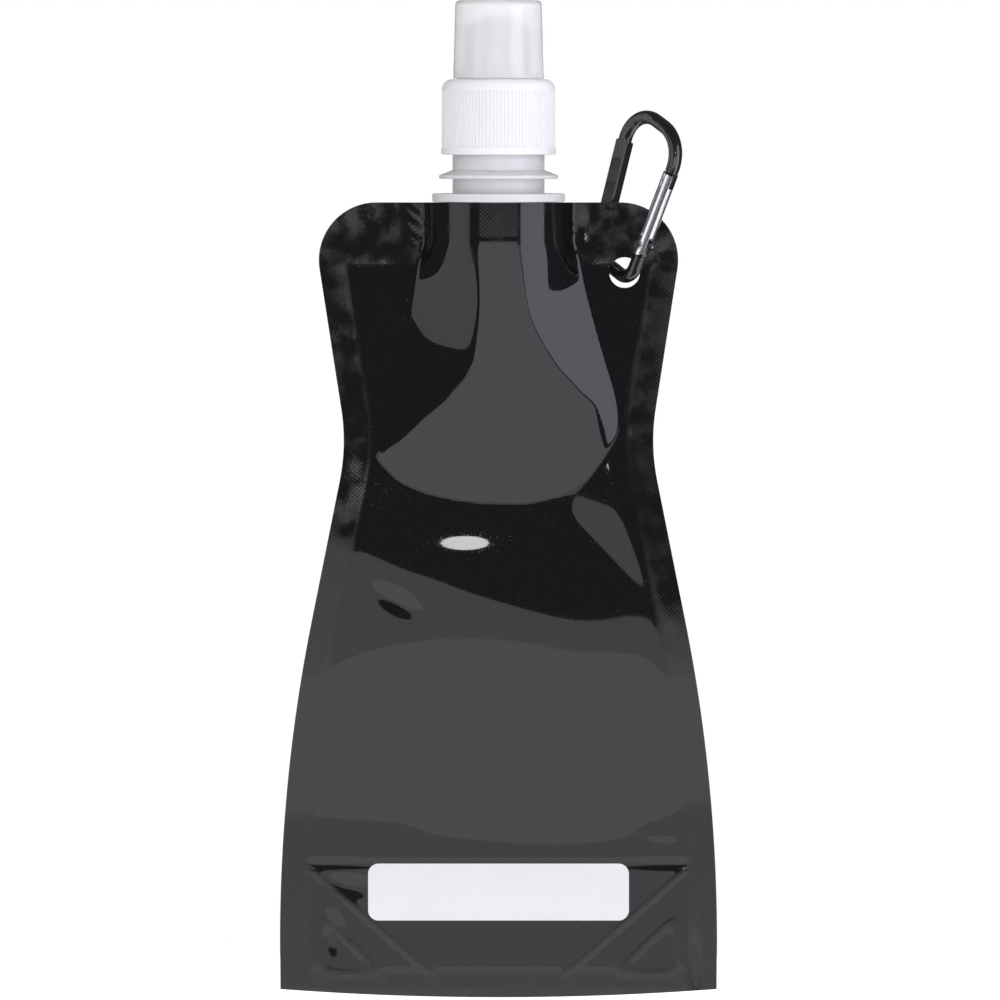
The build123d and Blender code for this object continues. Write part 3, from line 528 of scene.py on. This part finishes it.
# %% A material as a formula
class Wire:
    def __init__(self, finish, socket):
        self.finish, self.socket = finish, socket

    def maths(self, operation, *parts):
        return self.finish.node("ShaderNodeMath", {"operation": operation}, *parts)

    def __add__(self, other):
        return self.maths("ADD", self, other)

    def __sub__(self, other):
        return self.maths("SUBTRACT", self, other)

    def __rsub__(self, other):
        return self.maths("SUBTRACT", other, self)

    def __mul__(self, other):
        return self.maths("MULTIPLY", self, other)

    __radd__, __rmul__ = __add__, __mul__

    def sine(self):
        return self.maths("SINE", self)

    def between(self, a, b):
        """From 0 at a to 1 at b, eased."""
        eased_range = {"interpolation_type": "SMOOTHSTEP"}
        return self.finish.node("ShaderNodeMapRange", eased_range, self, a, b, 0.0, 1.0)


class Finish:
    """A material, built node by node around one Principled shader."""

    def __init__(self, name, **constants):
        self.material = bpy.data.materials.new(name)
        self.material.use_nodes = True
        self.tree = self.material.node_tree
        self.shader = next(n for n in self.tree.nodes if n.type == "BSDF_PRINCIPLED")
        for socket, value in constants.items():
            self.feed(self.shader.inputs[socket.replace("_", " ")], value)

    def feed(self, socket, value):
        if isinstance(value, Wire):
            self.tree.links.new(value.socket, socket)
        else:
            socket.default_value = value

    def node(self, kind, settings=None, *values, out=0, **named):
        made = self.tree.nodes.new(kind)
        for key, value in (settings or {}).items():
            setattr(made, key, value)
        for socket, value in zip(made.inputs, values):
            self.feed(socket, value)
        for key, value in named.items():
            self.feed(made.inputs[key.replace("_", " ")], value)
        return Wire(self, made.outputs[out])

    def place(self):
        """The place on the piece, in metres."""
        return self.node("ShaderNodeTexCoord", out="Object")

    def axes(self, spot):
        """The three coordinates of a place."""
        split = self.node("ShaderNodeSeparateXYZ", None, spot)
        return [Wire(self, out) for out in split.socket.node.outputs]

    def noise(self, spot, scale, detail=2.0):
        return self.node("ShaderNodeTexNoise", None, Vector=spot, Scale=scale, Detail=detail)

    def blend(self, share, first, second):
        """A colour between two colours."""
        mix = self.node("ShaderNodeMix", {"data_type": "RGBA"})
        made = mix.socket.node
        for socket, value in zip([made.inputs[0], made.inputs[6], made.inputs[7]], (share, first, second)):
            self.feed(socket, value)
        return Wire(self, made.outputs[2])

    def relief(self, height, distance, strength=1.0):
        bump = self.node("ShaderNodeBump", None, Strength=strength, Distance=distance, Height=height)
        self.feed(self.shader.inputs["Normal"], bump)

    def set(self, **values):
        for socket, value in values.items():
            self.feed(self.shader.inputs[socket.replace("_", " ")], value)


def dress(piece, finish):
    """Puts a finish on every slot of a piece."""
    slots = piece.data.materials
    if not slots:
        slots.append(finish.material)
    for index in range(len(slots)):
        slots[index] = finish.material


# %% [markdown]
# ## Black film
#
# The outside is a black laminate as smooth as glass, with hardly any colour of its own. What shows is the
# sealing tool's mark: along the welded edges a fine mesh is pressed into the film, and narrow lines are
# dulled. Their places are known, so two masks are painted on the sheet's vertices, and the mesh is two
# crossed waves.

# %% Painted masks of the welds and the dulled lines
WINDOW_LINE, SLANT_LINE, SEAM_LINE = 0.55, 0.6, 0.6


def paint_welds(sheet):
    x, _, z = vertices(sheet).T / MM
    inner = half_width(z) - SIDE_SEAL
    weld = np.maximum(eased(-0.4, 0.8, np.abs(x) - inner), eased(TOP_SEAL - 0.5, TOP_SEAL + 0.7, z))
    weld = np.maximum(weld, 1 - eased(BOTTOM_SEAL - 0.7, BOTTOM_SEAL + 0.5, z))
    inside = (z < GUSSET) & (z > BOTTOM_SEAL)
    line = np.exp(-((off_window(x, z) / WINDOW_LINE) ** 2))
    line = line + 0.6 * np.exp(-((off_slant(x, z) / SLANT_LINE) ** 2)) * inside
    line = line + 0.3 * np.exp(-(((np.abs(x) - inner) / SEAM_LINE) ** 2)) * (z < TOP_SEAL)
    for name, value in (("weld", weld), ("line", line)):
        attribute = sheet.data.attributes.new(name, "FLOAT", "POINT")
        attribute.data.foreach_set("value", value.astype(np.float32))


for sheet in (*sheets.values(), gusset):
    paint_welds(sheet)


# %% The film's finish
film = Finish("black_film", Specular_IOR_Level=0.55, Coat_Roughness=0.03)
spot = film.place()
x, _, z = film.axes(spot)
weld = film.node("ShaderNodeAttribute", {"attribute_name": "weld"}, out="Fac")
line = film.node("ShaderNodeAttribute", {"attribute_name": "line"}, out="Fac")
MESH_PITCH, MESH_DEPTH, WAVE_DEPTH, DUST_DEPTH = 1.1 * MM, 0.0028, 0.016, 0.001
MESH_WAVE = 2 * math.pi / MESH_PITCH
crossed = (x * MESH_WAVE).sine() * (z * MESH_WAVE).sine()
patches = film.noise(spot, 160, 3.0).between(0.3, 0.7)
dust = film.noise(spot, 2600, 1.0).between(0.66, 0.74)
waves = film.noise(spot, 30, 1.0)
film.set(
    Base_Color=film.blend(dust, (0.004, 0.0042, 0.0048, 1), (0.016, 0.016, 0.017, 1)),
    Roughness=0.018 + 0.02 * film.noise(spot, 60) + 0.12 * weld * patches + 0.3 * line,
)
mesh = crossed * weld * (0.3 + 0.7 * patches)
film.relief(mesh * MESH_DEPTH + waves * WAVE_DEPTH + dust * DUST_DEPTH, distance=1 * MM)
for sheet in sheets.values():
    dress(sheet, film)

gusset_finish = Finish("gusset_film", Specular_IOR_Level=0.5)
spot = gusset_finish.place()
gusset_finish.set(
    Base_Color=gusset_finish.blend(gusset_finish.noise(spot, 120), (0.006, 0.006, 0.007, 1),
                                   (0.013, 0.013, 0.014, 1)),
    Roughness=0.12 + 0.1 * gusset_finish.noise(spot, 200),
)
gusset_finish.relief(gusset_finish.noise(spot, 400), distance=0.05 * MM)
dress(gusset, gusset_finish)

# %% [markdown]
# ## White label
#
# The sticker is satin vinyl: white, faintly mottled, with the fine tooth that takes ink.

# %% The label's finish
vinyl = Finish("label_vinyl", Specular_IOR_Level=0.4)
spot = vinyl.place()
vinyl.set(
    Base_Color=vinyl.blend(vinyl.noise(spot, 220, 3.0), (0.60, 0.60, 0.61, 1), (0.64, 0.64, 0.65, 1)),
    Roughness=0.42 + 0.12 * vinyl.noise(spot, 900),
)
vinyl.relief(vinyl.noise(spot, 2500), distance=0.01 * MM)
dress(label, vinyl)

# %% [markdown]
# ## White mouldings
#
# Spout, cap and nozzle are moulded in milky plastic. Light goes a little way in, which softens their
# edges, and the mould's spark-eroded face leaves a very fine grain. The spout is thinner and a little
# greyer than the cap.

# %% Milky plastic
def moulded(name, shade, scatter, grain, roughness):
    plastic = Finish(name, Specular_IOR_Level=0.5, Subsurface_Weight=scatter,
                     Subsurface_Radius=(1.0, 0.95, 0.9), Subsurface_Scale=1.5 * MM)
    spot = plastic.place()
    darker = tuple(0.965 * part for part in shade)
    plastic.set(
        Base_Color=plastic.blend(plastic.noise(spot, 70, 3.0), (*darker, 1), (*shade, 1)),
        Roughness=roughness + 0.1 * plastic.noise(spot, 500),
    )
    fine, broad = plastic.noise(spot, 3200), plastic.noise(spot, 120, 1.0)
    plastic.relief(fine * grain + broad * 0.02, distance=1 * MM)
    return plastic


dress(nodes["screw_cap"], moulded("cap_plastic", (0.83, 0.83, 0.845), 0.25, 0.012, 0.30))
dress(nodes["spout"], moulded("spout_plastic", (0.67, 0.67, 0.68), 0.35, 0.006, 0.24))
dress(nodes["nozzle"], moulded("nozzle_plastic", (0.80, 0.80, 0.82), 0.3, 0.006, 0.28))
dress(nodes["cap_liner"], moulded("liner_foam", (0.72, 0.72, 0.70), 0.3, 0.05, 0.7))

# %% [markdown]
# ## Clear cover
#
# The dust cover is thin clear plastic with a slight haze, so the nozzle shows through it, and its rims
# catch the light. The haze is a rough transmission with a little white in it.

# %% The cover's finish
clear = Finish("clear_cover", IOR=1.49, Transmission_Weight=0.6, Specular_IOR_Level=0.5)
spot = clear.place()
clear.set(
    Base_Color=clear.blend(clear.noise(spot, 90), (0.90, 0.90, 0.91, 1), (0.95, 0.95, 0.96, 1)),
    Roughness=0.06 + 0.06 * clear.noise(spot, 160),
)
clear.relief(clear.noise(spot, 60, 1.0), distance=0.06 * MM)
dress(nodes["dust_cover"], clear)

# %% [markdown]
# ## Carabiner
#
# The hook is coated in thick black enamel, with a slight orange-peel. The gate is polished aluminium,
# drawn lengthways, and its pins and spring are steel.

# %% Enamel and metals
enamel = Finish("black_enamel", Coat_Weight=1.0, Coat_Roughness=0.04)
spot = enamel.place()
enamel.set(
    Base_Color=enamel.blend(enamel.noise(spot, 300), (0.003, 0.003, 0.003, 1), (0.007, 0.007, 0.008, 1)),
    Roughness=0.2 + 0.1 * enamel.noise(spot, 500),
)
enamel.relief(enamel.noise(spot, 900, 1.0), distance=0.03 * MM)


GATE_LEAN = math.radians(20.5)              # the gate's lines run along it


def metal(name, shade, roughness, stretch):
    bare = Finish(name, Metallic=1.0)
    spot = bare.place()
    drawn = bare.node("ShaderNodeMapping", None, Vector=spot, Rotation=(0, GATE_LEAN, 0), Scale=stretch)
    lines = bare.noise(drawn, 3000, 3.0)
    bare.set(
        Base_Color=bare.blend(lines, tuple(0.85 * p for p in shade) + (1,), (*shade, 1)),
        Roughness=roughness + 0.12 * lines,
    )
    bare.relief(lines, distance=0.008 * MM)
    return bare


dress(nodes["carabiner_body"], enamel)
dress(nodes["carabiner_gate"], metal("polished_aluminium", (0.90, 0.90, 0.91), 0.12, (1, 1, 0.05)))
steel = metal("steel", (0.62, 0.61, 0.60), 0.18, (1, 1, 1))
for name in ("gate_pivot_pin", "gate_latch_pin", "spring_plunger", "gate_spring"):
    dress(nodes[name], steel)

# %% [markdown]
# ## Light
#
# Gloss needs something to mirror. A wide softbox below eye level stands in for a lit table and gives the
# film its even grey, and its upper edge is where the film turns black. A box on the right gives the
# bluish panel of the cone, and a narrow strip on the left and a small lamp give the bright marks. Large
# fills around the bottle light the white plastic, and mirrors don't see them, so that they don't cover the
# film with stripes. Each box is placed by its directions as seen from the bottle, far away, so that it
# lights every part alike.

# %% Softboxes placed by direction
CENTRE = np.array([0, 0, 0.13])


def softbox(name, turn, rise, brightness, colour=(1, 1, 1), distance=12.0):
    """A lit rectangle from azimuth turn[0] to turn[1] and elevation rise[0] to rise[1], in degrees."""
    middle, lift = math.radians(sum(turn) / 2), math.radians(sum(rise) / 2)
    width = 2 * distance * math.tan(math.radians(turn[1] - turn[0]) / 2)
    height = 2 * distance * math.tan(math.radians(rise[1] - rise[0]) / 2)
    lamp = bpy.data.lights.new(name, "AREA")
    lamp.shape, lamp.size, lamp.size_y = "RECTANGLE", width, height
    lamp.color, lamp.energy = colour, brightness * math.pi * width * height
    box = bpy.data.objects.new(name, lamp)
    bpy.context.scene.collection.objects.link(box)
    way = np.array([math.sin(middle) * math.cos(lift), -math.cos(middle) * math.cos(lift), math.sin(lift)])
    box.location = CENTRE + way * distance
    box.rotation_euler = (math.pi / 2 - lift, 0, middle)
    box.visible_camera = False
    return box


TABLE = (1.0, 0.975, 1.05)
softbox("table_edge", (-27, 27), (-4.5, -0.4), 0.96, TABLE)
softbox("table_glow", (-27, 27), (-27, -4.5), 1.33, TABLE)
softbox("right_panel", (31, 68), (-46, 26), 2.1, (0.90, 0.91, 1.05))
softbox("left_strip", (-74, -41), (-50, 20), 1.0, TABLE)
softbox("small_lamp", (-2.5, 4), (6.4, 9.6), 13)
softbox("back_glow", (153, 207), (-14, -0.4), 1.0)
for name, turn, rise, brightness in (
    ("front_fill", (-30, 30), (-20, 32), 1.4),
    ("low_fill", (-35, 35), (-62, -34), 0.4),
    ("right_fill", (88, 118), (-15, 60), 1.75),
    ("left_fill", (-118, -88), (-15, 60), 1.3),
    ("top_fill", (-42, 42), (38, 86), 0.9),
    ("back_fill", (140, 220), (0, 70), 0.8),
):
    softbox(name, turn, rise, brightness).visible_glossy = False
print("softboxes:", len(bpy.data.lights))

# %% The floor
FLOOR_HALF, FLOOR_DEPTHS, FLOOR_HEIGHT = 0.3, (-0.05, 0.12), -0.0004
bpy.ops.object.select_all(action="DESELECT")
bpy.ops.mesh.primitive_plane_add(size=1, location=(0, 0, 0))
floor = bpy.context.object
floor.name = "floor"
corners = [(side, depth, FLOOR_HEIGHT) for depth in FLOOR_DEPTHS for side in (-FLOOR_HALF, FLOOR_HALF)]
floor.data.vertices.foreach_set("co", [part for corner in corners for part in corner])
floor.data.update()
paper = Finish("white_paper", Roughness=0.9, Emission_Color=(1, 1, 1, 1), Emission_Strength=0.75)
spot = paper.place()
paper.set(Base_Color=paper.blend(paper.noise(spot, 50), (0.93, 0.93, 0.93, 1), (0.95, 0.95, 0.95, 1)))
dress(floor, paper)
print("floor of", 2 * FLOOR_HALF, "by", FLOOR_DEPTHS[1] - FLOOR_DEPTHS[0], "m")

# %% [markdown]
# ## The room
#
# The room is white where the camera looks at it, straight or through the clear cover, and dark for every
# mirrored or scattered ray, so that the film has something dark to show between the softboxes.

# %% A room that is white only to look at
scene = bpy.context.scene
scene.view_settings.view_transform = "Standard"
room = bpy.data.worlds.new("room")
scene.world = room
room.use_nodes = True
tree = room.node_tree
tree.nodes.clear()
out, seen = tree.nodes.new("ShaderNodeOutputWorld"), tree.nodes.new("ShaderNodeLightPath")
mix, dim = tree.nodes.new("ShaderNodeMixShader"), tree.nodes.new("ShaderNodeBackground")
bright = tree.nodes.new("ShaderNodeBackground")
dim.inputs["Color"].default_value = (0.10, 0.10, 0.105, 1)
bright.inputs["Color"].default_value = (1, 1, 1, 1)
either = tree.nodes.new("ShaderNodeMath")
either.operation = "MAXIMUM"
tree.links.new(seen.outputs["Is Camera Ray"], either.inputs[0])
tree.links.new(seen.outputs["Is Transmission Ray"], either.inputs[1])
tree.links.new(either.outputs[0], mix.inputs[0])
tree.links.new(dim.outputs[0], mix.inputs[1])
tree.links.new(bright.outputs[0], mix.inputs[2])
tree.links.new(mix.outputs[0], out.inputs["Surface"])

# %% [markdown]
# ## The camera
#
# A long lens from a little above the middle keeps the outline nearly free of perspective.

# %% The camera
CAMERA_RISE, CAMERA_AWAY, FRAME_HEIGHT = 2.5, 2.4, 0.27
camera_data = bpy.data.cameras.new("camera")
camera_data.lens, camera_data.sensor_width = 36 * CAMERA_AWAY / FRAME_HEIGHT, 36
camera_data.clip_start, camera_data.clip_end = 0.05, 100
camera = bpy.data.objects.new("camera", camera_data)
scene.collection.objects.link(camera)
aim = np.array([0.0004, 0, 0.1345])
rise = math.radians(CAMERA_RISE)
camera.location = aim + CAMERA_AWAY * np.array([0, -math.cos(rise), math.sin(rise)])
camera.rotation_euler = (math.pi / 2 - rise, 0, 0)
camera.data.dof.use_dof = False
scene.camera = camera
print("camera lens:", round(camera_data.lens, 1))
